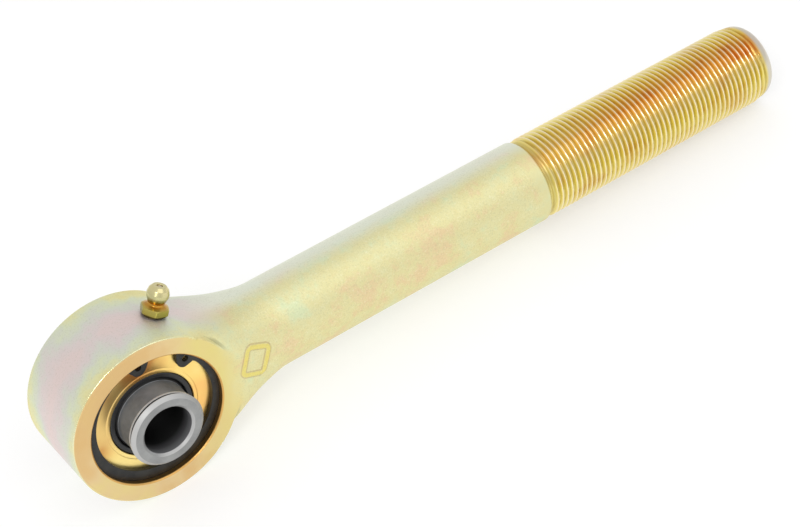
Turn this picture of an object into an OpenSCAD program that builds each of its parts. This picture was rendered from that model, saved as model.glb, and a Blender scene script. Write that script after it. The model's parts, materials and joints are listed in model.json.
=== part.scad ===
// Greaseable, rebuildable spherical rod end on a long threaded shank. Millimetres.
// Origin at the centre of the ball; +X runs along the shank to its threaded end, Y is the axis of the bolt
// bore with the front face on the -Y side, and +Z is the side that carries the grease fitting.

/* [Eye] */
// Outer diameter of the forged eye
eye_d = 50.8; // [46:0.1:56]
// Width of the eye across its machined faces
eye_w = 26.7; // [24:0.1:32]
// Bore of the eye
eye_bore_d = 39.9; // [39:0.1:41]

/* [Shank] */
// Diameter of the smooth part of the shank
shank_d = 25.6; // [25.56:0.02:26.4]
// Distance from the ball's centre to the shoulder in front of the thread
shoulder_x = 134.6; // [90:0.1:200]
// Number of thread turns
thread_turns = 47; // [20:1:60]
// Thread pitch, 14 turns to the inch
thread_pitch = 1.8143; // [1.5:0.0001:2.2]
// Diameter over the thread's crests
crest_d = 25.24; // [25.1:0.02:25.24]
// Radius of the forged fillet between the eye and the shank
neck_fillet_r = 42; // [25:1:60]

/* [Ball] */
// Diameter of the sphere
sphere_d = 28.58; // [28:0.02:28.6]
// Length of the ball over its two end faces
ball_len = 38.1; // [36:0.1:44]
// Diameter of the bolt bore
bolt_bore_d = 14.4; // [12:0.1:15]
// Diameter of the ball's cylindrical necks
neck_d = 20.6; // [19.6:0.1:20.7]
// Diameter of the collar at each end of the ball
collar_d = 22; // [20.8:0.1:22.4]

/* [Race] */
// Clearance between the ball and the polyurethane race
race_gap = 0.06; // [0.02:0.01:0.1]
// Gap between the two race halves, which spreads the grease
race_split = 2.4; // [2:0.1:4]
// Diameter of the hole in the side washers
washer_hole_d = 25.5; // [25.3:0.1:26.2]
// Distance from the ball's centre to the outer face of a side washer
washer_face_y = 10; // [9.8:0.1:10.4]
// Thickness of the snap rings
ring_t = 1.4; // [1.1:0.1:1.7]

/* [Grease fitting] */
// Angle of the fitting from +Z towards the shank
fitting_angle = 26; // [0:1:45]
// Offset of the fitting from the eye's middle plane
fitting_y = -0.5; // [-1.5:0.1:1.5]
// Size of the hexagon across its flats
fitting_hex = 7.14; // [6.9:0.01:8]
// Turn of the hexagon about the fitting's own axis
fitting_turn = 7.5; // [-30:0.5:30]

/* [Hidden] */
$fn = 96;
far = 200;               // larger than any piece, for cuts that go right through
cut = 1;                 // how far a cut runs past a face

eye_r = eye_d / 2;
eye_edge = 0.5;          // chamfer on the eye's outer edges
bore_edge = 0.35;        // chamfer on the mouths of the eye's bore

shank_r = shank_d / 2;
crest_r = crest_d / 2;
thread_h = 1.02;
root_r = crest_r - thread_h;
crest_flat = thread_pitch / 8;
flank = thread_h * tan(30);
shoulder_chamfer = shank_r - root_r;
first_crest_x = shoulder_x + shoulder_chamfer + thread_pitch / 2;
last_crest_x = first_crest_x + (thread_turns - 1) * thread_pitch;
tip_chamfer = 1.8;
tip_r = 10.9;
tip_base_r = 12.2;       // radius where the tip's chamfer starts
tip_x = last_crest_x + thread_pitch + tip_chamfer;

// the neck's outline is a circle that touches the eye and the shank
fillet_x = sqrt(pow(eye_r + neck_fillet_r, 2) - pow(shank_r + neck_fillet_r, 2));
fillet_z = shank_r + neck_fillet_r;
fillet_end = atan2(fillet_z, fillet_x);
neck_half_w = shank_r;
neck_steps = 24;

sphere_r = sphere_d / 2;
end_y = ball_len / 2;
neck_r = neck_d / 2;
collar_r = collar_d / 2;
bolt_r = bolt_bore_d / 2;
bolt_chamfer = 0.7;
collar_w = 2.6;          // width of the collar at each end of the ball
groove_w = 0.9;          // groove behind the collar's front ring
groove_depth = 0.45;
rear_ring_w = 0.5;       // raised ring where the collar starts
rear_ring_r = collar_r - 0.3;
neck_chamfer = 0.4;
collar_chamfer = 1;

bore_r = eye_bore_d / 2;
slip = 0.05;             // radial clearance of the pieces stacked in the bore
washer_t = 1.2;
washer_hole_r = washer_hole_d / 2;
washer_back_y = washer_face_y - washer_t;
washer_lip = 1.1;        // width, height and edge of the low lip round the washer's hole
washer_lip_h = 0.12;
washer_lip_edge = 0.15;
groove_r = bore_r + 1.15;
ring_r = groove_r - slip;
ring_inner_r = 17.7;     // the ring's inner circle lies off centre, so the ring tapers towards its gap
ring_inner_shift = 0.87;
ring_gap_at = 20;        // where the gap is, from +Z towards the shank
lug_at = 23.2;           // angle between the gap's middle and a lug
lug_r = 2.7;
lug_pitch_r = 18.1;
lug_hole_r = 0.95;
ring_gap_half = 12.5;

lip_r = 11.1;            // bore of the race's lip, inside the washer's hole
lip_y = washer_face_y - 0.15;
lip_edge = 0.3;

seat_h = eye_r + 0.45;   // the hexagon stands just off the eye; heights below are along the fitting's axis
hex_h = 2.1;
waist_r = 2.35;
waist_h = 3.0;
head_r = 3.15;
head_low = 5.1;
head_high = 5.9;
shoulder_h = 7.2;        // the head is rounded off in two steps above its widest part
shoulder_r = 2.75;
top_h = 8.1;
top_r = 1.95;
fitting_thread_r = 3.1;
fitting_thread_l = 4.3;
fitting_edge = 0.4;      // chamfer at the thread's end
fitting_hole_r = fitting_thread_r + 0.04;
fitting_hole_deep = 12;
hex_top = hex_h + 0.3;   // the hexagon's corners are turned off below this height
waist_top_r = waist_r + 0.3;
oil_bore_r = 1.3;
mouth_r = 0.85;
mouth_h = 0.4;
foot_t = 0.5;            // staked foot that holds the spring
foot_r = 0.6;
check_r = 1.15;
check_gap = 0.03;        // between the check ball and the step inside the mouth
check_h = top_h - mouth_h - sqrt(pow(check_r, 2) - pow(mouth_r, 2)) - check_gap;
spring_wire_r = 0.15;
spring_gap_low = 0.02;
spring_gap_high = 0.12;
spring_r = 0.85;
spring_turns = 7;
spring_low = foot_t - fitting_thread_l + spring_wire_r + spring_gap_low;
spring_high = check_h - sqrt(pow(check_r, 2) - pow(spring_r, 2)) - spring_wire_r - spring_gap_high;
spring_steps = 16;
spring_sides = 6;

steel = "#d8cf8e";
bright_gold = "#f0c763";
black_ring = "#26272a";
rubber = "#1f2124";
phosphate = "#7f7f80";
brass_gold = "#c9ad4f";
bright_steel = "silver";

// turns a profile drawn as [radius, distance along the axis] about +X or about -Y
module about_x() { rotate([0, 90, 0]) rotate_extrude() children(); }
module about_y() { rotate([90, 0, 0]) rotate_extrude() children(); }
module to_rear() { mirror([0, 1, 0]) children(); }
// stands a piece on the eye along the fitting's axis, which passes over the ball's centre
module at_fitting() {
    translate([0, fitting_y, 0]) rotate([0, fitting_angle, 0]) translate([0, 0, seat_h]) children();
}

function ring_points(x) = [
    [root_r, x - crest_flat / 2 - flank], [crest_r, x - crest_flat / 2],
    [crest_r, x + crest_flat / 2], [root_r, x + crest_flat / 2 + flank]];

// shank with its thread; each turn is a ring with a flat crest
module shank() {
    about_x() polygon(concat(
        [[0, 0], [shank_r, 0], [shank_r, shoulder_x], [root_r, shoulder_x + shoulder_chamfer]],
        [for (i = [0:thread_turns - 1]) each ring_points(first_crest_x + i * thread_pitch)],
        [[root_r, tip_x - tip_chamfer - thread_pitch / 4], [tip_base_r, tip_x - tip_chamfer],
            [tip_r, tip_x], [0, tip_x]]));
}

// flared neck: a fillet turned about the shank and cut flat on both sides
module neck() {
    arc = [for (i = [0:neck_steps]) let (a = 180 + fillet_end + (90 - fillet_end) * i / neck_steps)
        [fillet_z + neck_fillet_r * sin(a), fillet_x + neck_fillet_r * cos(a)]];
    intersection() {
        about_x() polygon(concat([[0, 0]], [[arc[0][0], 0]], arc, [[0, fillet_x]]));
        cube([far, 2 * neck_half_w, far], center = true);
    }
}

module forged_housing() {
    hw = eye_w / 2;
    color(steel) difference() {
        union() {
            about_y() polygon([[0, -hw], [eye_r - eye_edge, -hw], [eye_r, eye_edge - hw],
                [eye_r, hw - eye_edge], [eye_r - eye_edge, hw], [0, hw]]);
            neck();
            shank();
        }
        // bore with chamfered mouths and the two snap ring grooves
        about_y() polygon([[0, -hw - cut], [bore_r + bore_edge + cut, -hw - cut], [bore_r, bore_edge - hw],
            [bore_r, hw - bore_edge], [bore_r + bore_edge + cut, hw + cut], [0, hw + cut]]);
        for (s = [-1, 1]) translate([0, s * (washer_face_y + ring_t / 2), 0]) rotate([90, 0, 0])
            cylinder(r = groove_r, h = ring_t + 2 * slip, center = true);
        // hole for the fitting's thread
        at_fitting() translate([0, 0, -fitting_hole_deep])
            cylinder(r = fitting_hole_r, h = fitting_hole_deep + cut);
    }
}

// sphere with a turned neck, a grooved collar and a chamfered end face on each side
module center_ball() {
    collar_y = end_y - collar_w;
    groove_y = collar_y + rear_ring_w;
    color(phosphate) difference() {
        union() {
            sphere(r = sphere_r);
            for (s = [0, 1]) mirror([0, s, 0]) about_y() polygon([[0, 0], [neck_r, 0],
                [neck_r, collar_y - neck_chamfer], [rear_ring_r, collar_y], [rear_ring_r, groove_y],
                [rear_ring_r - groove_depth, groove_y], [rear_ring_r - groove_depth, groove_y + groove_w],
                [collar_r, groove_y + groove_w], [collar_r, end_y - collar_chamfer],
                [collar_r - collar_chamfer, end_y], [0, end_y]]);
        }
        rotate([90, 0, 0]) cylinder(r = bolt_r, h = ball_len + 2 * cut, center = true);
        for (s = [0, 1]) mirror([0, s, 0]) about_y() polygon([[0, end_y - bolt_chamfer],
            [bolt_r, end_y - bolt_chamfer], [bolt_r + bolt_chamfer + cut, end_y + cut], [0, end_y + cut]]);
    }
}

// polyurethane half race with the lip that fills the washer's hole
module race() {
    lip_out_r = washer_hole_r - slip;
    color(rubber) difference() {
        about_y() polygon([[lip_r, race_split / 2], [bore_r - slip, race_split / 2],
            [bore_r - slip, washer_back_y], [lip_out_r, washer_back_y], [lip_out_r, lip_y - lip_edge],
            [lip_out_r - lip_edge, lip_y], [lip_r, lip_y]]);
        sphere(r = sphere_r + race_gap);
    }
}
module front_race() { race(); }
module rear_race() { to_rear() race(); }

// flat side washer with a low lip round its hole
module washer() {
    f = washer_face_y;
    lip_end = washer_hole_r + washer_lip;
    color(bright_gold) about_y() polygon([[washer_hole_r, washer_back_y], [bore_r - slip, washer_back_y],
        [bore_r - slip, f], [lip_end + washer_lip_edge, f], [lip_end, f + washer_lip_h],
        [washer_hole_r + washer_lip_edge, f + washer_lip_h], [washer_hole_r, f]]);
}
module front_washer() { washer(); }
module rear_washer() { to_rear() washer(); }

// internal snap ring: off-centre bore, an open gap and two drilled lugs
module snap_ring() {
    color(black_ring) rotate([90, 0, 0]) rotate([0, 0, 90 - ring_gap_at])
        translate([0, 0, washer_face_y + slip]) linear_extrude(ring_t - slip) difference() {
        intersection() {
            union() {
                difference() {
                    circle(r = ring_r);
                    translate([ring_inner_shift, 0]) circle(r = ring_inner_r);
                }
                for (s = [-1, 1]) rotate(s * lug_at) translate([lug_pitch_r, 0]) circle(r = lug_r);
            }
            circle(r = ring_r);
        }
        polygon([[0, 0], for (s = [-1, 1]) 2 * ring_r * [cos(ring_gap_half), s * sin(ring_gap_half)]]);
        for (s = [-1, 1]) rotate(s * lug_at) translate([lug_pitch_r, 0]) circle(r = lug_hole_r);
    }
}
module front_snap_ring() { snap_ring(); }
module rear_snap_ring() { to_rear() snap_ring(); }

module grease_fitting() {
    color(brass_gold) at_fitting() difference() {
        union() {
            intersection() {
                rotate(fitting_turn) cylinder(d = fitting_hex / cos(30), h = hex_h, $fn = 6);
                cylinder(r1 = fitting_hex, r2 = fitting_hex / 2, h = hex_top);
            }
            rotate_extrude() polygon([[0, -fitting_thread_l],
                [fitting_thread_r - fitting_edge, -fitting_thread_l],
                [fitting_thread_r, fitting_edge - fitting_thread_l], [fitting_thread_r, hex_h],
                [waist_top_r, hex_top], [waist_r, waist_h], [head_r, head_low],
                [head_r, head_high], [shoulder_r, shoulder_h], [top_r, top_h], [0, top_h]]);
        }
        translate([0, 0, foot_t - fitting_thread_l])
            cylinder(r = oil_bore_r, h = top_h - mouth_h - foot_t + fitting_thread_l);
        translate([0, 0, -fitting_thread_l - cut]) cylinder(r = foot_r, h = foot_t + 2 * cut);
        translate([0, 0, top_h - mouth_h - cut]) cylinder(r = mouth_r, h = mouth_h + 2 * cut);
    }
}

module check_ball() { color(bright_steel) at_fitting() translate([0, 0, check_h]) sphere(r = check_r); }

// open coil: one ring of points for each step along the helix
module check_spring() {
    n = spring_turns * spring_steps;
    rise = (spring_high - spring_low) / n;
    pts = [for (i = [0:n]) for (k = [0:spring_sides - 1])
        let (a = 360 * i / spring_steps, b = 360 * k / spring_sides, r = spring_r + spring_wire_r * cos(b))
        [r * cos(a), r * sin(a), spring_low + i * rise + spring_wire_r * sin(b)]];
    m = spring_sides;
    sides = [for (i = [0:n - 1]) for (k = [0:m - 1]) let (a = i * m + k, b = i * m + (k + 1) % m)
        each [[a, b, b + m], [a, b + m, a + m]]];
    ends = [for (k = [1:m - 2]) each [[0, k + 1, k], [n * m, n * m + k, n * m + k + 1]]];
    color(bright_steel) at_fitting() polyhedron(points = pts, faces = concat(sides, ends));
}

forged_housing();
center_ball();
front_race();
rear_race();
front_washer();
rear_washer();
front_snap_ring();
rear_snap_ring();
grease_fitting();
check_ball();
check_spring();
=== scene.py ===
"""Spherical rod end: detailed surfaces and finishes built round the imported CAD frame.
Shapes and finishes are worked out in millimetres in the row frame; a mesh is scaled to metres when made."""

import json
import math

import bmesh
import bpy
import numpy as np
from mathutils import Matrix, Vector


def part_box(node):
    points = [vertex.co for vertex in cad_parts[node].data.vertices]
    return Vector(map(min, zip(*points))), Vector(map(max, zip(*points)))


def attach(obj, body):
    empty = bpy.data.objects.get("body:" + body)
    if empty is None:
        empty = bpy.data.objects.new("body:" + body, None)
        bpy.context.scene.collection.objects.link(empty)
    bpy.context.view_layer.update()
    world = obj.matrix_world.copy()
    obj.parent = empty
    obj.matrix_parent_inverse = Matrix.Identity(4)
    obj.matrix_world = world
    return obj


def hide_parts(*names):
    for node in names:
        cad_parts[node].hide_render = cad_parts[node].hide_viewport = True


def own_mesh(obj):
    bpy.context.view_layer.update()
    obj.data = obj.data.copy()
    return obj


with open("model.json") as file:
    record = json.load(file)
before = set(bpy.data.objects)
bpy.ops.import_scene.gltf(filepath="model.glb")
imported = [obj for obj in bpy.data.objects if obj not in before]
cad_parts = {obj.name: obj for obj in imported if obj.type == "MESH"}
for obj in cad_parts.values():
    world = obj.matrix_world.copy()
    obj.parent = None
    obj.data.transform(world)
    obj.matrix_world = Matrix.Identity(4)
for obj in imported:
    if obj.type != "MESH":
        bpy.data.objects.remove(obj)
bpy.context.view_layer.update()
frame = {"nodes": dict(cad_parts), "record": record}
MM = 0.001


def box_mm(node):
    low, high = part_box(node)
    return np.array(low) / MM, np.array(high) / MM


def mount(name):
    return next(m for m in frame["record"]["mounts"] if m["name"] == name)


# sizes read off the CAD frame, in mm
housing_low, housing_high = box_mm("forged_housing")
EYE_R, HALF_W, TIP_X = -housing_low[0], housing_high[1], housing_high[0]
_, ball_high = box_mm("center_ball")
SPHERE_R, END_Y = ball_high[0], ball_high[1]
washer_low, washer_high = box_mm("rear_washer")
WASHER_R, WASHER_BACK = washer_high[0], washer_low[1]
ring_low, ring_high = box_mm("rear_snap_ring")
RING_R, RING_BACK, RING_FACE = -ring_low[0], ring_low[1], ring_high[1]
race_low, race_high = box_mm("rear_race")
RACE_R, RACE_SPLIT, LIP_Y = race_high[0], race_low[1], race_high[1]

# sizes the boxes don't show, in mm
SHANK_R = 12.8
FILLET_R = 42.0
BORE_R = 19.95
GROOVE_R = 21.1
WASHER_Y = 10.0
HOLE_R = 12.75
LIP_R = 11.1
SHOULDER_X = 134.6
THREAD_X = SHOULDER_X + 1.3
PITCH = 1.8143
CREST_R, ROOT_R = 12.62, 11.56
TIP_R = 10.9
EDGE_R = 0.55
NECK_R = 10.3
BOLT_R = 7.2
COLLAR_BACK = END_Y - 2.6
COLLAR_R, COLLAR_GROOVE_R, COLLAR_RIM_R = 11.0, 10.25, 10.0
LUG_R, LUG_HOLE_R = 18.1, 0.95
LUG_DEG, GAP_DEG, GAP_AT_DEG = 23.2, 12.5, 20.0

# the plain raised frame on the neck: centre, turn, half sizes without the corners, corner radius
MARK_X, MARK_Z, MARK_TURN = 31.6, 1.6, math.radians(-24)
MARK_W, MARK_H, MARK_CORNER = 2.2, 2.9, 1.3


# ---------------------------------------------------------------- mesh tools

def smoothstep(low, high, v):
    t = np.clip((np.asarray(v, float) - low) / (high - low), 0, 1)
    return t * t * (3 - 2 * t)


def smin(a, b, k):
    h = np.clip(0.5 + 0.5 * (b - a) / k, 0, 1)
    return b + (a - b) * h - k * h * (1 - h)


def smax(a, b, k):
    return -smin(-a, -b, k)


def build(name, points, faces, body, sharp=40):
    """A mesh piece from points in mm, riding on a body."""
    mesh = bpy.data.meshes.new(name)
    mesh.from_pydata((np.asarray(points) * MM).tolist(), [], [list(f) for f in faces])
    work = bmesh.new()
    work.from_mesh(mesh)
    bmesh.ops.recalc_face_normals(work, faces=work.faces)
    work.to_mesh(mesh)
    work.free()
    mesh.shade_smooth()
    mesh.set_sharp_from_angle(angle=math.radians(sharp))
    piece = bpy.data.objects.new(name, mesh)
    bpy.context.scene.collection.objects.link(piece)
    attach(piece, body)
    return piece


def quads(rows, wrap=True):
    """Faces between rows of vertex numbers."""
    faces = []
    for a, b in zip(rows[:-1], rows[1:]):
        n = len(a)
        for i in range(n if wrap else n - 1):
            j = (i + 1) % n
            faces.append((a[i], a[j], b[j], b[i]))
    return faces


def rounded(corners, closed=True, steps=4, hold=0.06):
    """A profile whose corners are arcs: corners are (x, y, radius).
    Points just before and after each arc hold the flats flat."""
    out = []
    n = len(corners)
    for i, (x, y, r) in enumerate(corners):
        if r <= 0 or (not closed and i in (0, n - 1)):
            out.append((x, y))
            continue
        p = np.array((x, y), float)
        u = np.array(corners[i - 1][:2], float) - p
        v = np.array(corners[(i + 1) % n][:2], float) - p
        lu, lv = np.hypot(*u), np.hypot(*v)
        u, v = u / lu, v / lv
        angle = math.acos(np.clip(np.dot(u, v), -1, 1))
        t = min(r / math.tan(angle / 2), 0.45 * lu, 0.45 * lv)
        r = t * math.tan(angle / 2)
        centre = p + (u + v) / np.hypot(*(u + v)) * r / math.sin(angle / 2)
        a, b = p + u * t, p + v * t
        start = math.atan2(*(a - centre)[::-1])
        turn = math.atan2(*(b - centre)[::-1]) - start
        turn = (turn + math.pi) % (2 * math.pi) - math.pi
        h = min(hold, 0.3 * t)
        out.append(tuple(a + u * h))
        for k in range(steps + 1):
            c = start + turn * k / steps
            out.append((centre[0] + r * math.cos(c), centre[1] + r * math.sin(c)))
        out.append(tuple(b + v * h))
    return out


def about_bore(profile, n, side=1.0):
    """Rings about the bore's axis from (radius, distance) points; side 1 is the front, towards -Y."""
    a = np.arange(n) * 2 * math.pi / n
    return np.concatenate([np.c_[r * np.cos(a), np.full(n, -side * d), r * np.sin(a)] for r, d in profile])


def lathe(name, corners, body, side=1.0, n=192, steps=4):
    profile = rounded(corners, steps=steps)
    rows = [[i * n + k for k in range(n)] for i in range(len(profile))]
    rows.append(rows[0])
    return build(name, about_bore(profile, n, side), quads(rows), body)


# ---------------------------------------------------------------- forged housing

def neck_height(x):
    """Half height of the neck: an arc that touches the eye's outline and the shank."""
    centre_z = SHANK_R + FILLET_R
    centre_x = math.sqrt((EYE_R + FILLET_R) ** 2 - centre_z ** 2)
    touch_x = centre_x * EYE_R / (EYE_R + FILLET_R)
    return centre_z - np.sqrt(FILLET_R ** 2 - (centre_x - np.clip(x, touch_x, centre_x)) ** 2)


def pad(x, z):
    """Height of the plain raised frame on the flank of the neck."""
    u = (x - MARK_X) * math.cos(MARK_TURN) + (z - MARK_Z) * math.sin(MARK_TURN)
    v = -(x - MARK_X) * math.sin(MARK_TURN) + (z - MARK_Z) * math.cos(MARK_TURN)
    qx, qz = np.abs(u) - MARK_W, np.abs(v) - MARK_H
    d = np.hypot(np.maximum(qx, 0), np.maximum(qz, 0)) + np.minimum(np.maximum(qx, qz), 0) - MARK_CORNER
    return 0.5 * (1 - smoothstep(0.4, 0.85, np.abs(d)))


def forging(p):
    """Zero on the skin of the forging: the eye, the neck that widens into it, and the machined faces."""
    x, y, z = p[:, 0], p[:, 1], p[:, 2]
    eye = np.hypot(x, z) - EYE_R
    # the neck is round at the shank, and wider and squarer towards the eye
    half_w = SHANK_R + 1.6 * (1 - smoothstep(20, 33, x))
    power = 2 + 3 * (1 - smoothstep(18, 43, x))
    high = neck_height(x)
    neck = half_w * ((np.abs(y) / half_w) ** power + (np.abs(z) / high) ** power) ** (1 / power) - half_w
    neck = np.maximum(neck, 5 - x)
    # a slight crease where the neck leaves the rim of the face
    angle = np.degrees(np.arctan2(np.abs(z), x))
    crease = 0.25 * np.exp(-((eye - 0.5) / 0.6) ** 2) * smoothstep(10.8, 12.4, np.abs(y))
    crease = crease * smoothstep(20, 32, angle) * (1 - smoothstep(40, 56, angle))
    skin = smin(eye, neck, 0.3) + crease - np.where(y < 0, pad(x, z), 0) * (x > 20)
    return smax(skin, np.abs(y) - HALF_W, 0.5)


def project(p, field, rounds=14, step=1e-3):
    """Moves points along the field's gradient on to its zero surface."""
    p = p.copy()
    for _ in range(rounds):
        value = field(p)
        grad = np.stack([(field(p + d) - field(p - d)) / (2 * step) for d in np.eye(3) * step], 1)
        move = value / np.maximum((grad ** 2).sum(1), 0.05)
        p -= np.clip(move, -1.5, 1.5)[:, None] * grad
    return p


def thread_radius(x, turn):
    """Radius of the rolled thread; turn is the angle about +X from +Y in turns."""
    phase = ((x - THREAD_X) / PITCH - turn) % 1.0
    v = np.abs(phase - 0.5) * 2
    g = smax(smin((0.76 - v) / 0.62, np.ones_like(v), 0.16), np.zeros_like(v), 0.2)
    run_in = smoothstep(THREAD_X - 0.1, THREAD_X + PITCH * 1.2, x)
    r = ROOT_R + (CREST_R - ROOT_R) * g * (0.15 + 0.85 * run_in)
    # the last turns run out into a tapered lead
    cap = np.interp(TIP_X - x, [0, 0.7, 1.4, 2.4, 5.0, 5.9],
                    [TIP_R, TIP_R + 0.6, TIP_R + 0.95, TIP_R + 1.15, CREST_R - 0.3, CREST_R])
    fade = smoothstep(TIP_X - 3.3, TIP_X - 2.3, x)
    return np.minimum(r, cap) * (1 - fade) + cap * fade


def make_housing():
    """Eye, neck, shank and thread in one closed skin. The eye's skin stops `reach` columns either side of the
    neck, and `column` rows run across its width."""
    n, reach, column = 288, 46, 52
    step = 2 * math.pi / n
    loop_r = 23.0
    points, faces = [], []
    count = 0

    def add(block):
        nonlocal count
        points.append(block)
        count += len(block)
        return list(range(count - len(block), count))

    # bore with its grooves, and the inner part of both machined faces
    bevel, g0, g1 = 0.35, RING_BACK - 0.1, RING_FACE + 0.05
    half = [(loop_r, HALF_W, 0), (21.4, HALF_W, 0),
            (BORE_R + bevel, HALF_W, 0.12), (BORE_R, HALF_W - bevel, 0.12),
            (BORE_R, g1, 0.06), (GROOVE_R, g1, 0.08),
            (GROOVE_R, g0, 0.08), (BORE_R, g0, 0.06), (BORE_R, 4, 0)]
    profile = rounded(half + [(r, -a, c) for r, a, c in half[::-1]], closed=False, steps=3)
    rows = [add(about_bore([pt], n)) for pt in profile]
    faces += quads(rows)
    front, rear = rows[0], rows[-1]

    # outer skin of the eye, away from the neck
    edge = [0.0, 0.14, 0.3, 0.5, 0.7, 0.9, 1.0]
    inner = [loop_r + (EYE_R - EDGE_R - loop_r) * t for t in (1 / 3, 2 / 3, 1)]
    side = [(r, HALF_W) for r in inner]
    side += [(EYE_R - EDGE_R + EDGE_R * math.sin(t * math.pi / 2),
              HALF_W - EDGE_R + EDGE_R * math.cos(t * math.pi / 2))
             for t in edge[1:]]
    flat = column - 2 * len(side)
    mid = [(EYE_R, (HALF_W - EDGE_R) * (1 - 2 * (i + 1) / (flat + 1))) for i in range(flat)]
    profile = side + mid + [(r, -a) for r, a in side[::-1]]
    angles = np.arange(reach, n - reach + 1) * step
    skin = [front[reach:n - reach + 1]]
    for r, a in profile[:column - 1]:
        block = np.c_[r * np.cos(angles), np.full(len(angles), -a), r * np.sin(angles)]
        skin.append(add(project(block, forging)))
    skin.append(rear[reach:n - reach + 1])
    faces += quads(skin, wrap=False)

    # tube from the eye to the shank: it starts on the loop left open in the skin
    first = [i % n for i in range(-reach, reach + 1)]
    loop = [front[i] for i in first]
    loop += [row[0] for row in skin[1:-1]]
    loop += [rear[i] for i in first[::-1]]
    loop += [row[-1] for row in skin[1:-1][::-1]]
    assert len(loop) == n
    every = np.concatenate(points)
    start = every[loop]
    phi = math.radians(-57.5) + np.arange(n) * step
    tube_end = 58.0
    ring = np.c_[np.full(n, tube_end), -SHANK_R * np.cos(phi), SHANK_R * np.sin(phi)]
    rows = [loop]
    tube_rings = 84
    for j in range(1, tube_rings + 1):
        s = (j / tube_rings) ** 1.15
        rows.append(add(project(start + (ring - start) * s, forging)))
    # smooth shank and its shoulder
    for x in np.linspace(tube_end, SHOULDER_X - 0.5, 15)[1:]:
        rows.append(add(np.c_[np.full(n, x), -SHANK_R * np.cos(phi), SHANK_R * np.sin(phi)]))
    shoulder = [(SHOULDER_X - 0.5, SHANK_R, 0), (SHOULDER_X, SHANK_R, 0.35),
                (SHOULDER_X + 1.1, ROOT_R + 0.12, 0)]
    for x, r in rounded(shoulder, closed=False, steps=4)[1:]:
        rows.append(add(np.c_[np.full(n, x), -r * np.cos(phi), r * np.sin(phi)]))
    faces += quads(rows)

    # thread: a quarter of the columns, joined to the shank by a row of fans
    coarse = phi[::4]
    turn = np.arctan2(np.sin(coarse), -np.cos(coarse)) / (2 * math.pi)
    xs = np.arange(THREAD_X, TIP_X - 1e-6, PITCH / 9)
    xs = np.append(xs[:-1], TIP_X)
    thread = []
    for x in xs:
        r = thread_radius(np.full(len(coarse), x), turn)
        thread.append(add(np.c_[np.full(len(coarse), x), -r * np.cos(coarse), r * np.sin(coarse)]))
    last, k = rows[-1], len(coarse)
    for i in range(k):
        a, b = thread[0][i], thread[0][(i + 1) % k]
        c = [last[(4 * i + j) % n] for j in range(5)]
        faces += [(c[0], c[1], a), (c[1], c[2], a), (c[2], b, a), (c[2], c[3], b), (c[3], c[4], b)]
    faces += quads(thread)
    # end face
    r_end = np.hypot(*np.concatenate(points)[thread[-1][0]][1:])
    rings = [thread[-1]]
    for r in (r_end - 0.15, 8.0, 4.0, 1.2):
        rings.append(add(np.c_[np.full(k, TIP_X), -r * np.cos(coarse), r * np.sin(coarse)]))
    faces += quads(rings)
    centre = add(np.array([[TIP_X, 0.0, 0.0]]))[0]
    faces += [(rings[-1][i], rings[-1][(i + 1) % k], centre) for i in range(k)]
    piece = build("forged_housing_skin", np.concatenate(points), faces, "housing", sharp=38)
    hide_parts("forged_housing")
    return piece


# ---------------------------------------------------------------- ball

def make_ball():
    """Sphere, two necks and a grooved collar at each end, round the bolt bore."""
    lip = math.degrees(math.asin(NECK_R / SPHERE_R))
    arc = [(SPHERE_R * math.sin(math.radians(a)), SPHERE_R * math.cos(math.radians(a)), 0)
           for a in np.linspace(90, lip, 25)]
    ridge_r, chamfer = COLLAR_R - 0.3, 0.7
    groove_from, groove_to = COLLAR_BACK + 0.5, COLLAR_BACK + 1.4
    end = [(NECK_R, COLLAR_BACK - 0.4, 0.25),
           (ridge_r, COLLAR_BACK, 0.12), (ridge_r, groove_from, 0.1),
           (COLLAR_GROOVE_R, groove_from, 0.08), (COLLAR_GROOVE_R, groove_to, 0.08),
           (COLLAR_R, groove_to, 0.08), (COLLAR_R, END_Y - 1.0, 0.1),
           (COLLAR_RIM_R, END_Y, 0.2), (BOLT_R + chamfer, END_Y, 0.15), (BOLT_R, END_Y - chamfer, 0.15)]
    front = arc + end
    rear = [(r, -a, k) for r, a, k in front[::-1]]
    piece = lathe("center_ball_turned", front + rear[:-1], "ball", n=224)
    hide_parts("center_ball")
    return piece


# ---------------------------------------------------------------- pieces stacked in the bore, on both sides

def make_race(name, side):
    """Half of the race, with the lip that shows round the ball's neck."""
    inner = SPHERE_R + 0.06
    lip_from = math.sqrt(inner ** 2 - LIP_R ** 2)
    arc = [(math.sqrt(inner ** 2 - a ** 2), a, 0) for a in np.linspace(lip_from, RACE_SPLIT, 20)]
    corners = [(LIP_R, LIP_Y, 0.45)] + arc + [(RACE_R, RACE_SPLIT, 0.1), (RACE_R, WASHER_BACK, 0.1),
              (HOLE_R - 0.05, WASHER_BACK, 0.1), (HOLE_R - 0.05, LIP_Y - 0.02, 0.5)]
    piece = lathe(name + "_moulded", corners, "race", side, n=192, steps=6)
    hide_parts(name)
    return piece


def make_washer(name, side):
    """Side washer with a low rounded lip, and a fine line outside it."""
    lip = [(0.05, 0.03), (0.16, 0.1), (0.32, 0.12), (0.95, 0.12), (1.1, 0.1), (1.2, 0.04), (1.25, 0),
           (1.4, 0)]
    corners = [(HOLE_R, WASHER_BACK, 0.08), (HOLE_R, WASHER_Y - 0.1, 0.0)]
    corners += [(HOLE_R + out, WASHER_Y + up, 0) for out, up in lip]
    corners += [(WASHER_R - 0.02, WASHER_Y, 0.15), (WASHER_R - 0.02, WASHER_BACK, 0.1)]
    piece = lathe(name + "_pressed", corners, "housing", side, n=224)
    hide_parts(name)
    return piece


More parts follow.
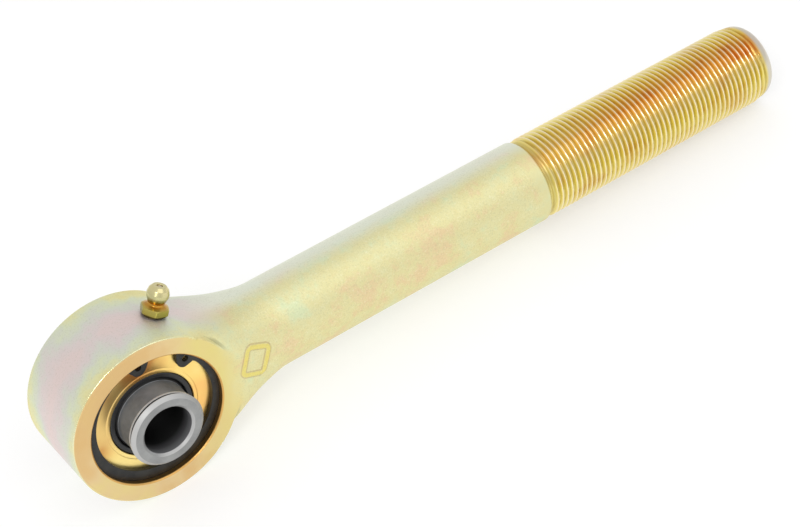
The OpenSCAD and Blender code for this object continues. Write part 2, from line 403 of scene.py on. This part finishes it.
def make_snap_ring(name, side):
    """A band that tapers towards its gap, with a drilled lug at each end."""
    deg = np.concatenate([np.linspace(GAP_DEG, 40, 90), np.linspace(40, 320, 190)[1:-1],
                          np.linspace(320, 360 - GAP_DEG, 90)])
    off = np.minimum(deg, 360 - deg)
    a = np.radians(deg)
    # the inside circle is set off from the bore's axis, so the band is thickest opposite its gap
    inside_r, off_centre, lug_size = 17.7, 0.87, 2.7
    band = off_centre * np.cos(a) + np.sqrt(inside_r ** 2 - (off_centre * np.sin(a)) ** 2)
    nose = 20.5 - 5.1 * np.sqrt(np.clip(1 - ((LUG_DEG - off) / (LUG_DEG - GAP_DEG)) ** 2, 0, 1))
    swell = np.radians(np.abs(off - LUG_DEG))
    lug = LUG_R * np.cos(swell) - np.sqrt(np.clip(lug_size ** 2 - (LUG_R * np.sin(swell)) ** 2, 0, None))
    outer_side = lug + (band - lug) * smoothstep(4.0, 12.5, off - LUG_DEG)
    inner = np.where(off < LUG_DEG, nose, outer_side)
    gap_at = math.pi / 2 - math.radians(GAP_AT_DEG)
    edge = 0.12
    rows = []
    for r_in, ang in zip(inner, a):
        prof = rounded([(r_in, RING_BACK, edge), (r_in, RING_FACE, edge), (RING_R, RING_FACE, edge),
                        (RING_R, RING_BACK, edge)], steps=3, hold=0.03)
        at = gap_at + ang
        rows.append([(r * math.cos(at), -side * d, r * math.sin(at)) for r, d in prof])
    m = len(rows[0])
    points = np.array(rows).reshape(-1, 3)
    index = [[i * m + k for k in range(m)] for i in range(len(rows))]
    faces = quads(index) + [tuple(index[0]), tuple(index[-1][::-1])]
    piece = build(name + "_stamped", points, faces, "housing", sharp=32)
    drill_at = [gap_at - math.radians(LUG_DEG), gap_at + math.radians(LUG_DEG)]
    for ang in drill_at:
        work = bmesh.new()
        bmesh.ops.create_cone(work, cap_ends=True, segments=48, radius1=LUG_HOLE_R * MM,
                              radius2=LUG_HOLE_R * MM, depth=6 * MM)
        place = Matrix.Translation(Vector((LUG_R * math.cos(ang), -side * (RING_BACK + RING_FACE) / 2,
                                           LUG_R * math.sin(ang))) * MM)
        work.transform(place @ Matrix.Rotation(math.pi / 2, 4, "X"))
        mesh = bpy.data.meshes.new("drill")
        work.to_mesh(mesh)
        work.free()
        drill = bpy.data.objects.new("drill", mesh)
        bpy.context.scene.collection.objects.link(drill)
        cut = piece.modifiers.new("hole", "BOOLEAN")
        cut.operation, cut.solver, cut.object = "DIFFERENCE", "EXACT", drill
        bpy.context.view_layer.update()
        done = bpy.data.meshes.new_from_object(piece.evaluated_get(bpy.context.evaluated_depsgraph_get()))
        piece.modifiers.clear()
        piece.data = done
        bpy.data.objects.remove(drill)
    piece.data.shade_smooth()
    piece.data.set_sharp_from_angle(angle=math.radians(32))
    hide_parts(name)
    return piece


# ---------------------------------------------------------------- grease fitting

nipple = mount("grease_nipple")
fit_axis = Vector(nipple["axis"]).normalized()
fit_tip = Vector(nipple["pos_m"])
FIT_TOP, HEX_TURN = 8.1, 7.5
fit_foot = fit_tip - fit_axis * FIT_TOP * MM
lean = math.atan2(fit_axis.x, fit_axis.z)
FIT = Matrix.Translation(fit_foot) @ Matrix.Rotation(lean, 4, "Y")


def make_fitting():
    """Hexagon, waist and head in one skin; heights are along the fitting's own axis."""
    n, flat, corner, top = 144, 3.57, 4.07, 2.1
    upper = rounded([(0.6, -4.3, 0), (0.6, -3.8, 0), (1.3, -3.8, 0), (1.3, 7.7, 0), (0.85, 7.7, 0),
                     (0.85, FIT_TOP, 0.12),
                     (1.95, FIT_TOP, 0.3), (2.76, 7.2, 0.35), (3.12, 6.0, 0.35), (3.12, 5.15, 0.3),
                     (2.35, 3.25, 0.3), (2.42, 2.75, 0.25), (3.3, top + 0.12, 0)],
                    closed=False, steps=5, hold=0.03)
    lower = rounded([(3.3, 0.0, 0), (3.1, 0.0, 0), (3.1, -3.9, 0), (2.7, -4.3, 0)], closed=False)
    ang = np.arange(n) * 2 * math.pi / n
    fold = (ang + math.pi / 6) % (math.pi / 3) - math.pi / 6
    hexagon = np.minimum(flat / np.cos(math.pi / 6 - np.abs(fold)), corner)
    ang = ang + math.radians(HEX_TURN)
    cone, under = 3.62, 3.7
    h_top = np.where(hexagon > cone, top - (hexagon - cone) * 0.6, top)
    h_low = np.where(hexagon > under, (hexagon - under) / 1.3 + 0.02, 0.02)
    rows = [(np.full(n, r), np.full(n, h)) for r, h in upper]
    rows += [(np.minimum(hexagon, cone) - 0.06, np.full(n, top + 0.02)),
             (np.minimum(hexagon, cone), np.full(n, top - 0.005))]
    rows += [(hexagon, h_top - 0.02), (hexagon, h_top - 0.09)]
    rows += [(hexagon, h_low + (h_top - h_low) * t) for t in (0.75, 0.5, 0.25)]
    rows += [(hexagon, h_low + 0.08), (np.minimum(hexagon, under), np.zeros(n))]
    rows += [(np.full(n, r), np.full(n, h)) for r, h in lower]
    points = np.concatenate([np.c_[r * np.cos(ang), r * np.sin(ang), h] for r, h in rows])
    index = [[i * n + k for k in range(n)] for i in range(len(rows))]
    index.append(index[0])
    world = np.array(FIT)
    points = points @ world[:3, :3].T + world[:3, 3] / MM
    piece = build("grease_fitting_turned", points, quads(index), "housing", sharp=28)
    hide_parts("grease_fitting")
    return piece


def make_spring():
    """Coil under the check ball."""
    wire, radius, turns = 0.15, 0.85, 7
    low, high = -3.63, 5.85
    steps, sides = 28, 10
    count = turns * steps
    points = []
    for i in range(count + 1):
        a = 2 * math.pi * i / steps
        out = np.array((math.cos(a), math.sin(a), 0))
        up = np.array((0, 0, 1.0))
        c = radius * out + up * (low + (high - low) * i / count)
        for k in range(sides):
            b = 2 * math.pi * k / sides
            points.append(c + wire * (math.cos(b) * out + math.sin(b) * up))
    index = [[i * sides + k for k in range(sides)] for i in range(count + 1)]
    faces = quads(index) + [tuple(index[0]), tuple(index[-1][::-1])]
    world = np.array(FIT)
    points = np.array(points) @ world[:3, :3].T + world[:3, 3] / MM
    piece = build("check_spring_coil", points, faces, "housing", sharp=50)
    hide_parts("check_spring")
    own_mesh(piece)
    return piece


housing = make_housing()
ball = make_ball()
races = [make_race("front_race", 1), make_race("rear_race", -1)]
washers = [make_washer("front_washer", 1), make_washer("rear_washer", -1)]
rings = [make_snap_ring("front_snap_ring", 1), make_snap_ring("rear_snap_ring", -1)]
fitting = make_fitting()
spring = make_spring()


# ---------------------------------------------------------------- finishes

def colour(r, g, b):
    """Screen colour 0-255 to linear."""
    f = lambda c: c / 12.92 if c <= 0.04045 else ((c + 0.055) / 1.055) ** 2.4
    return (f(r / 255), f(g / 255), f(b / 255), 1)


class Finish:
    """A procedural material. Its x, y and z are in millimetres, in the row frame; textures use metres."""

    def __init__(self, name, metallic=1.0, roughness=0.3, **sockets):
        self.mat = bpy.data.materials.new(name)
        self.mat.use_nodes = True
        self.tree = self.mat.node_tree
        self.tree.nodes.clear()
        self.out = self.make("ShaderNodeOutputMaterial")
        self.shader = self.make("ShaderNodeBsdfPrincipled")
        self.tree.links.new(self.shader.outputs[0], self.out.inputs[0])
        self.shader.inputs["Metallic"].default_value = metallic
        self.shader.inputs["Roughness"].default_value = roughness
        for key, value in sockets.items():
            self.shader.inputs[key.replace("_", " ")].default_value = value
        self.co = self.make("ShaderNodeTexCoord").outputs["Object"]
        in_mm = self.make("ShaderNodeVectorMath", {0: self.co, "Scale": 1 / MM}, operation="SCALE").outputs[0]
        self.x, self.y, self.z = self.make("ShaderNodeSeparateXYZ", {0: in_mm}).outputs

    def make(self, kind, inputs=None, **props):
        node = self.tree.nodes.new(kind)
        for key, value in props.items():
            setattr(node, key, value)
        for key, value in (inputs or {}).items():
            if isinstance(value, bpy.types.NodeSocket):
                self.tree.links.new(value, node.inputs[key])
            else:
                node.inputs[key].default_value = value
        return node

    def math(self, op, a, b=0.0, clamp=False):
        return self.make("ShaderNodeMath", {0: a, 1: b}, operation=op, use_clamp=clamp).outputs[0]

    def plus(self, a, b):
        return self.math("ADD", a, b)

    def minus(self, a, b):
        return self.math("SUBTRACT", a, b)

    def times(self, a, b):
        return self.math("MULTIPLY", a, b)

    def length(self, a, b):
        return self.math("SQRT", self.plus(self.times(a, a), self.times(b, b)))

    def step(self, v, low, high, to_low=0.0, to_high=1.0):
        node = self.make("ShaderNodeMapRange", {0: v, 1: low, 2: high, 3: to_low, 4: to_high},
                         interpolation_type="SMOOTHSTEP")
        return node.outputs[0]

    def noise(self, scale, detail=2.0, rough=0.5, stretch=None, seed=0.0):
        co = self.co
        if stretch or seed:
            co = self.make("ShaderNodeMapping",
                           {0: co, 1: (seed, seed * 0.7, -seed), 3: stretch or (1, 1, 1)}).outputs[0]
        return self.make("ShaderNodeTexNoise",
                         {"Vector": co, "Scale": scale, "Detail": detail, "Roughness": rough}).outputs[0]

    def mix(self, factor, a, b):
        node = self.make("ShaderNodeMix", {0: factor, 6: a, 7: b}, data_type="RGBA")
        return node.outputs[2]

    def blend(self, factor, a, b):
        return self.make("ShaderNodeMix", {0: factor, 2: a, 3: b}, data_type="FLOAT").outputs[0]

    def ramp(self, v, *stops):
        node = self.make("ShaderNodeValToRGB", {0: v})
        ramp = node.color_ramp
        while len(ramp.elements) < len(stops):
            ramp.elements.new(0.5)
        for element, (at, c) in zip(ramp.elements, stops):
            element.position, element.color = at, c
        return node.outputs[0]

    def bump(self, *layers):
        """Layers of (height, strength, distance in mm)."""
        normal = None
        for height, strength, distance in layers:
            inputs = {"Height": height, "Strength": strength, "Distance": distance * MM}
            if normal is not None:
                inputs["Normal"] = normal
            normal = self.make("ShaderNodeBump", inputs).outputs[0]
        self.tree.links.new(normal, self.shader.inputs["Normal"])

    def set(self, **links):
        for key, value in links.items():
            self.tree.links.new(value, self.shader.inputs[key.replace("_", " ")])
        return self.mat


def plated_forging():
    """Yellow zinc on the forging: iridescent on the eye, yellower on the shank and the thread."""
    f = Finish("plated_forging")
    depth = f.math("ABSOLUTE", f.y)
    rho, rad = f.length(f.x, f.z), f.length(f.y, f.z)
    wide, mid = f.noise(42, 3), f.noise(95, 3, seed=0.31)
    fine, grit = f.noise(420, 4, 0.6), f.noise(2300, 2, 0.6)
    # the film is thicker near the machined faces, so its tint runs in bands along them
    blotch = f.plus(f.times(f.minus(wide, 0.5), 0.9), f.times(f.minus(mid, 0.5), 0.9))
    blotch = f.plus(blotch, f.times(f.minus(fine, 0.5), 0.3))
    band = f.plus(f.math("DIVIDE", depth, 16.5), blotch)
    eye = f.ramp(band, (0.0, colour(232, 216, 212)), (0.2, colour(228, 217, 214)),
                 (0.38, colour(222, 223, 212)), (0.56, colour(224, 229, 202)), (0.76, colour(235, 231, 180)),
                 (1.0, colour(234, 222, 160)))
    flow = f.plus(mid, f.times(f.minus(fine, 0.5), 0.4))
    shank = f.ramp(flow, (0.3, colour(220, 227, 186)), (0.43, colour(228, 224, 176)),
                   (0.55, colour(229, 222, 170)), (0.7, colour(232, 212, 168)))
    # painted sheen: the side away from the first view is painted paler
    painted_sheen = f.times(f.step(f.plus(f.y, f.times(f.z, 0.3)), -0.5, 7), f.step(f.z, 0, 4))
    shank = f.mix(f.times(painted_sheen, 0.85), shank, colour(236, 240, 228))
    base = f.mix(f.step(f.plus(f.x, f.times(f.minus(wide, 0.5), 20)), 14, 34), eye, shank)
    # painted highlight: the raised frame on the neck is painted yellower
    across, along = f.minus(f.x, MARK_X), f.minus(f.z, MARK_Z)
    u = f.plus(f.times(across, math.cos(MARK_TURN)), f.times(along, math.sin(MARK_TURN)))
    v = f.minus(f.times(along, math.cos(MARK_TURN)), f.times(across, math.sin(MARK_TURN)))
    qx, qz = f.minus(f.math("ABSOLUTE", u), MARK_W), f.minus(f.math("ABSOLUTE", v), MARK_H)
    outside = f.length(f.math("MAXIMUM", qx, 0.0), f.math("MAXIMUM", qz, 0.0))
    inside = f.math("MINIMUM", f.math("MAXIMUM", qx, qz), 0.0)
    off = f.math("ABSOLUTE", f.minus(f.plus(outside, inside), MARK_CORNER))
    front = f.step(f.y, -9, -10.5)
    frame_highlight = f.times(f.step(off, 0.8, 0.5), front)
    base = f.mix(f.times(frame_highlight, 0.7), base, colour(236, 220, 110))
    # painted shade: a darker outline round the raised frame
    outline = f.times(f.times(f.step(off, 1.2, 0.9), f.step(off, 0.6, 0.8)), front)
    base = f.mix(f.times(outline, 0.4), base, colour(178, 140, 84))
    # painted shade: a dark line along the crease where the neck leaves the rim of the face
    steep = f.math("DIVIDE", f.math("ABSOLUTE", f.z), f.math("MAXIMUM", f.x, 1.0))
    line = f.times(f.step(rho, EYE_R + 0.02, EYE_R + 0.22), f.step(rho, EYE_R + 1.22, EYE_R + 0.72))
    line = f.times(f.times(line, f.step(depth, HALF_W - 2.55, HALF_W - 1.15)),
                   f.times(f.step(steep, 0.36, 0.62), f.step(steep, 3.2, 1.9)))
    base = f.mix(f.times(line, 0.5), base, colour(160, 158, 116))
    # machined faces and bore
    face_mask = f.times(f.step(depth, HALF_W - 0.13, HALF_W - 0.01), f.step(f.x, 28, 19))
    face = f.ramp(f.plus(f.times(wide, 0.7), f.times(mid, 0.3)), (0.34, colour(222, 184, 124)),
                  (0.45, colour(228, 202, 152)), (0.57, colour(230, 212, 142)), (0.7, colour(230, 198, 154)))
    face = f.mix(f.times(f.step(f.x, 4, 20), 0.6), face, colour(226, 214, 138))
    face = f.mix(f.times(f.step(f.minus(f.z, f.x), 12, 30), 0.7), face, colour(220, 182, 122))
    bore_mask = f.step(rho, BORE_R + 0.5, BORE_R + 0.35)
    base = f.mix(face_mask, base, face)
    base = f.mix(bore_mask, base, colour(222, 176, 104))
    # thread: painted highlight on pale crests and painted shade in browner roots; `about` runs from 0 to 1
    # across it, with a rust-coloured belt
    thread_mask = f.step(f.x, SHOULDER_X + 0.3, SHOULDER_X + 1)
    about = f.math("DIVIDE", f.plus(f.times(f.z, 0.736), f.times(f.y, 0.677)), 2 * CREST_R)
    about = f.plus(f.plus(about, 0.5), f.times(f.minus(mid, 0.5), 0.16))
    side = f.ramp(about, (0.0, colour(244, 230, 152)), (0.22, colour(236, 224, 128)),
                  (0.42, colour(236, 212, 132)), (0.55, colour(236, 196, 122)), (0.68, colour(226, 158, 66)),
                  (0.8, colour(234, 194, 84)), (0.93, colour(240, 220, 118)), (1.0, colour(248, 242, 192)))
    far = f.times(f.step(f.x, 150, 180), f.times(f.step(about, 0.4, 0.6), f.step(about, 0.86, 0.76)))
    side = f.mix(f.times(far, f.step(mid, 0.4, 0.6, 0.1, 0.9)), side, colour(212, 122, 48))
    side = f.mix(f.times(f.step(f.x, 172, 138), 0.5), side, colour(246, 236, 160))
    groove = f.ramp(f.step(rad, ROOT_R, CREST_R), (0.0, colour(146, 120, 58)),
                    (0.3, colour(204, 176, 92)), (0.7, colour(238, 216, 126)), (0.9, colour(244, 222, 166)),
                    (1.0, colour(254, 240, 216)))
    thread = f.mix(f.step(rad, CREST_R - 0.2, CREST_R, 0.62, 0.12), groove, side)
    # painted highlight: the shoulder's chamfer and the tapered lead at the tip are painted pale
    end = f.times(f.step(f.x, TIP_X - 3.3, TIP_X - 2), f.blend(fine, 0.75, 1.0))
    end = f.math("MAXIMUM", end, f.step(f.x, SHOULDER_X + 1.1, SHOULDER_X + 0.6))
    rust = f.times(f.step(mid, 0.5, 0.66), f.step(rad, CREST_R, CREST_R - 0.3))
    thread = f.mix(f.times(rust, 0.25), thread, colour(196, 110, 46))
    thread = f.mix(f.times(end, thread_mask), thread, colour(212, 208, 198))
    base = f.mix(thread_mask, base, thread)
    # fine dark grains of the forged skin, and bright painted glints on the neck
    forged = f.step(f.x, SHOULDER_X - 0.6, SHOULDER_X - 4.6)
    speck = f.times(f.step(grit, 0.46, 0.34), f.times(forged, f.step(rho, 23.5, 24.5)))
    base = f.mix(f.times(speck, f.blend(face_mask, 0.2, 0.05)), base, colour(176, 176, 150))
    painted_glints = f.times(f.step(grit, 0.56, 0.7), f.times(f.step(f.x, 22, 34), forged))
    base = f.mix(f.times(painted_glints, 0.3), base, colour(250, 246, 232))
    rough = f.blend(face_mask, f.blend(fine, 0.5, 0.62), 0.42)
    # the face's outer edge is polished where the neck doesn't join it
    rim = f.times(f.step(depth, HALF_W - 0.55, HALF_W - 0.35),
                  f.times(f.step(rho, EYE_R - 0.52, EYE_R - 0.42), f.step(f.x, 12, 8)))
    rough = f.blend(rim, rough, 0.2)
    rough = f.blend(bore_mask, rough, 0.3)
    rough = f.blend(thread_mask, rough, 0.3)
    # circular tool marks on the machined faces
    turned = f.make("ShaderNodeTexWave",
                    {"Vector": f.make("ShaderNodeCombineXYZ", {0: rho}).outputs[0], "Scale": 1.1,
                     "Distortion": 0.6, "Detail": 1.0},
                    wave_type="BANDS", bands_direction="X").outputs[1]
    skin = f.blend(face_mask, grit, 0.5)
    skin = f.blend(thread_mask, skin, 0.5)
    lines = f.times(face_mask, turned)
    f.bump((f.noise(160, 3, 0.5, seed=0.9), 0.25, 0.12), (skin, 0.75, 0.11), (lines, 0.25, 0.01))
    return f.set(Base_Color=base, Roughness=rough)


def plated_washer():
    f = Finish("plated_washer")
    wide = f.noise(70, 2, seed=0.5)
    swing = f.plus(wide, f.times(f.x, 0.009))
    base = f.ramp(swing, (0.36, colour(254, 230, 150)), (0.52, colour(254, 220, 132)),
                  (0.64, colour(254, 204, 122)), (0.8, colour(254, 198, 128)))
    # painted shade: browner on the side away from the shank
    far_side_shade = f.step(f.minus(f.z, f.x), 4, 17)
    base = f.mix(f.times(far_side_shade, f.step(wide, 0.4, 0.62, 0.35, 0.9)), base, colour(196, 124, 62))
    smear = f.noise(260, 3, 0.6, seed=1.7)
    f.bump((smear, 0.12, 0.05), (f.noise(1900, 2), 0.12, 0.02))
    return f.set(Base_Color=base, Roughness=f.blend(smear, 0.26, 0.38))


def phosphate_steel():
    """Grey phosphate: dull on the necks, brighter on the turned collars."""
    f = Finish("phosphate_steel", metallic=0.3)
    depth, rad = f.math("ABSOLUTE", f.y), f.length(f.x, f.z)
    turned = f.step(depth, COLLAR_BACK - 0.05, COLLAR_BACK + 0.05)
    # painted shade: the bore darkens with depth, and the neck where it enters the race
    inside = f.step(rad, BOLT_R + 0.06, BOLT_R + 0.02)
    gap_shade = f.times(f.step(rad, NECK_R + 0.06, NECK_R + 0.16), f.step(depth, LIP_Y + 1.95, LIP_Y + 1.35))
    # painted shade in the collar's groove
    groove = f.times(f.step(rad, COLLAR_GROOVE_R + 0.27, COLLAR_GROOVE_R + 0.17),
                     f.step(rad, COLLAR_GROOVE_R - 0.35, COLLAR_GROOVE_R - 0.25))
    groove = f.times(f.times(turned, groove), f.step(depth, END_Y - 1.1, END_Y - 1.25))
    cloud, fine = f.noise(150, 4, 0.6), f.noise(1500, 3, 0.6)
    # painted light and shade: brighter on the side away from the shank, darker towards it
    lit = f.step(f.minus(f.z, f.x), -12, 12)
    dull = f.ramp(cloud, (0.35, colour(118, 121, 124)), (0.65, colour(148, 151, 154)))
    dull = f.mix(f.times(lit, 0.5), f.mix(0.35, dull, colour(60, 61, 63)), dull)
    shiny = f.ramp(cloud, (0.35, colour(132, 133, 133)), (0.65, colour(152, 153, 152)))
    # painted highlight on the collar's bevel, on the lit side
    bevel = f.times(f.step(rad, COLLAR_RIM_R - 0.05, COLLAR_RIM_R + 0.05),
                    f.step(depth, END_Y - 1.45, END_Y - 1.35))
    bevel = f.times(bevel, lit)
    shiny = f.mix(bevel, shiny, colour(184, 184, 183))
    # painted light: the lower right of the bore's mouth is painted brighter
    lit_mouth = f.times(f.step(rad, BOLT_R + 0.74, BOLT_R + 0.68), f.step(f.minus(f.x, f.z), -2, 6))
    shiny = f.mix(lit_mouth, shiny, colour(180, 180, 179))
    base = f.mix(turned, dull, shiny)
    # painted shade: black deep in the bore, lighter grey towards its mouth
    hole = f.ramp(f.step(depth, END_Y - 11, END_Y), (0.0, colour(2, 2, 2)),
                  (0.5, colour(22, 22, 22)), (0.8, colour(78, 78, 80)), (1.0, colour(128, 128, 130)))
    base = f.mix(inside, base, hole)
    base = f.mix(gap_shade, base, colour(22, 22, 23))
    base = f.mix(groove, base, colour(44, 44, 44))
    # painted highlight on the narrow ring behind the collar's groove
    ridge_highlight = f.times(f.step(rad, COLLAR_GROOVE_R + 0.19, COLLAR_GROOVE_R + 0.27),
                    f.times(turned, f.step(depth, END_Y - 2, END_Y - 2.06)))
    base = f.mix(ridge_highlight, base, colour(196, 196, 195))
    lines = f.make("ShaderNodeTexWave",
                   {"Vector": f.make("ShaderNodeCombineXYZ", {0: rad, 1: f.y}).outputs[0], "Scale": 1.5,
                    "Distortion": 1.2, "Detail": 2.0},
                   wave_type="BANDS", bands_direction="DIAGONAL").outputs[1]
    f.bump((fine, 0.35, 0.03), (lines, 0.18, 0.008))
    return f.set(Base_Color=base, Roughness=f.blend(turned, 0.55, 0.42))


def black_spring_steel():
    f = Finish("black_spring_steel", metallic=0.6)
    cloud, fine = f.noise(240, 4, 0.6), f.noise(1300, 3, 0.7)
    base = f.ramp(cloud, (0.3, colour(40, 41, 42)), (0.7, colour(62, 62, 60)))
    # painted glints: fine lighter specks on the dark band
    base = f.mix(f.step(fine, 0.64, 0.78), base, colour(110, 104, 90))
    f.bump((fine, 0.3, 0.03))
    return f.set(Base_Color=base, Roughness=f.blend(cloud, 0.3, 0.5))


def polyurethane():
    f = Finish("polyurethane", metallic=0.0)
    cloud = f.noise(300, 3)
    base = f.ramp(cloud, (0.3, colour(24, 25, 27)), (0.7, colour(38, 39, 41)))
    f.bump((f.noise(900, 3, 0.6), 0.2, 0.03))
    return f.set(Base_Color=base, Roughness=f.blend(cloud, 0.34, 0.5))


def plated_fitting():
    f = Finish("plated_fitting")
    local = f.make("ShaderNodeVectorMath", {0: f.co, 1: tuple(fit_foot)}, operation="SUBTRACT").outputs[0]
    height = f.make("ShaderNodeVectorMath", {0: local, 1: tuple(fit_axis)},
                    operation="DOT_PRODUCT").outputs[1]
    cloud = f.noise(500, 3, seed=0.2)
    # painted shade: dark at the foot, under the hexagon, and a darker painted reflection under the head
    base = f.ramp(f.math("DIVIDE", height, FIT_TOP * MM), (0.0, colour(52, 38, 14)),
                  (0.02, colour(64, 48, 18)), (0.045, colour(160, 150, 70)), (0.24, colour(184, 168, 86)),
                  (0.31, colour(186, 128, 40)), (0.42, colour(196, 142, 52)), (0.52, colour(150, 136, 66)),
                  (0.64, colour(198, 192, 142)), (0.9, colour(218, 206, 156)))
    base = f.mix(f.times(cloud, 0.15), base, colour(196, 204, 140))
    f.bump((f.noise(2200, 2), 0.08, 0.015))
    return f.set(Base_Color=base, Roughness=f.blend(cloud, 0.18, 0.28))


def bright_steel():
    f = Finish("bright_steel")
    cloud = f.noise(1200, 2)
    base = f.ramp(cloud, (0.3, colour(176, 160, 130)), (0.7, colour(206, 196, 176)))
    return f.set(Base_Color=base, Roughness=f.blend(cloud, 0.14, 0.26))


makers = [plated_forging, plated_washer, phosphate_steel, black_spring_steel, polyurethane, plated_fitting,
          bright_steel]
finish = {make.__name__: make() for make in makers}
worn_by = [("plated_forging", [housing]), ("phosphate_steel", [ball]), ("plated_fitting", [fitting]),
           ("bright_steel", [spring, frame["nodes"]["check_ball"]]),
           ("polyurethane", races), ("plated_washer", washers), ("black_spring_steel", rings)]
for name, pieces in worn_by:
    for piece in pieces:
        piece.data.materials.clear()
        piece.data.materials.append(finish[name])


# ---------------------------------------------------------------- floor, light and camera

def area(name, place, towards, size, power):
    light = bpy.data.lights.new(name, "AREA")
    light.shape, light.size, light.energy = "DISK", size, power
    lamp = bpy.data.objects.new(name, light)
    lamp.location = place
    lamp.rotation_mode = "QUATERNION"
    lamp.rotation_quaternion = (Vector(towards) - Vector(place)).to_track_quat("-Z", "Y")
    bpy.context.scene.collection.objects.link(lamp)


# the part rests on the eye's rim and on the end of the thread
rest_eye, rest_tip = Vector((0, 0, -EYE_R)) * MM, Vector((TIP_X - 1.5, 0, -CREST_R)) * MM
slope = math.atan2(rest_tip.z - rest_eye.z, rest_tip.x - rest_eye.x)
mesh = bpy.data.meshes.new("floor")
mesh.from_pydata([(-6, -6, 0), (6, -6, 0), (6, 6, 0), (-6, 6, 0)], [], [(0, 1, 2, 3)])
floor = bpy.data.objects.new("floor", mesh)
floor.rotation_euler = (0, -slope, 0)
floor.location = rest_eye - Vector((0, 0, 0.00006))
bpy.context.scene.collection.objects.link(floor)
paper = Finish("floor_paper", metallic=0.0, roughness=0.7, Emission_Color=(1, 1, 1, 1), Emission_Strength=0.5)
mesh.materials.append(paper.set(Base_Color=paper.ramp(paper.noise(3, 2), (0.3, (0.5, 0.5, 0.5, 1)),
                                                      (0.7, (0.52, 0.52, 0.52, 1)))))

scene = bpy.context.scene
scene.view_settings.view_transform = "Standard"
world = bpy.data.worlds.new("studio")
scene.world = world
world.use_nodes = True
world.node_tree.nodes["Background"].inputs[0].default_value = (1, 1, 1, 1)
world.node_tree.nodes["Background"].inputs[1].default_value = 0.82
area("key", (-0.50, -0.55, 0.67), Vector((0.02, 0, 0)), size=0.34, power=2.3)
area("fill", (0.39, -0.44, 0.81), Vector((0.07, 0, 0)), size=0.9, power=1.3)

# placed and aimed as the photo's own camera, fitted to the outlines of the part
cam = bpy.data.objects.new("camera", bpy.data.cameras.new("camera"))
cam.data.sensor_width, cam.data.lens = 36.0, 93.11
cam.data.clip_start, cam.data.clip_end = 0.01, 50
across = Vector((0.80750, -0.57640, -0.12529))
down = Vector((-0.44472, -0.45538, -0.77126))
ahead = Vector((0.38751, 0.67852, -0.62406))
turn = Matrix((across, -down, -ahead)).transposed().to_4x4()
cam.matrix_world = Matrix.Translation(Vector((-0.14314, -0.40544, 0.36825))) @ turn
scene.collection.objects.link(cam)
scene.camera = cam

bpy.context.view_layer.update()
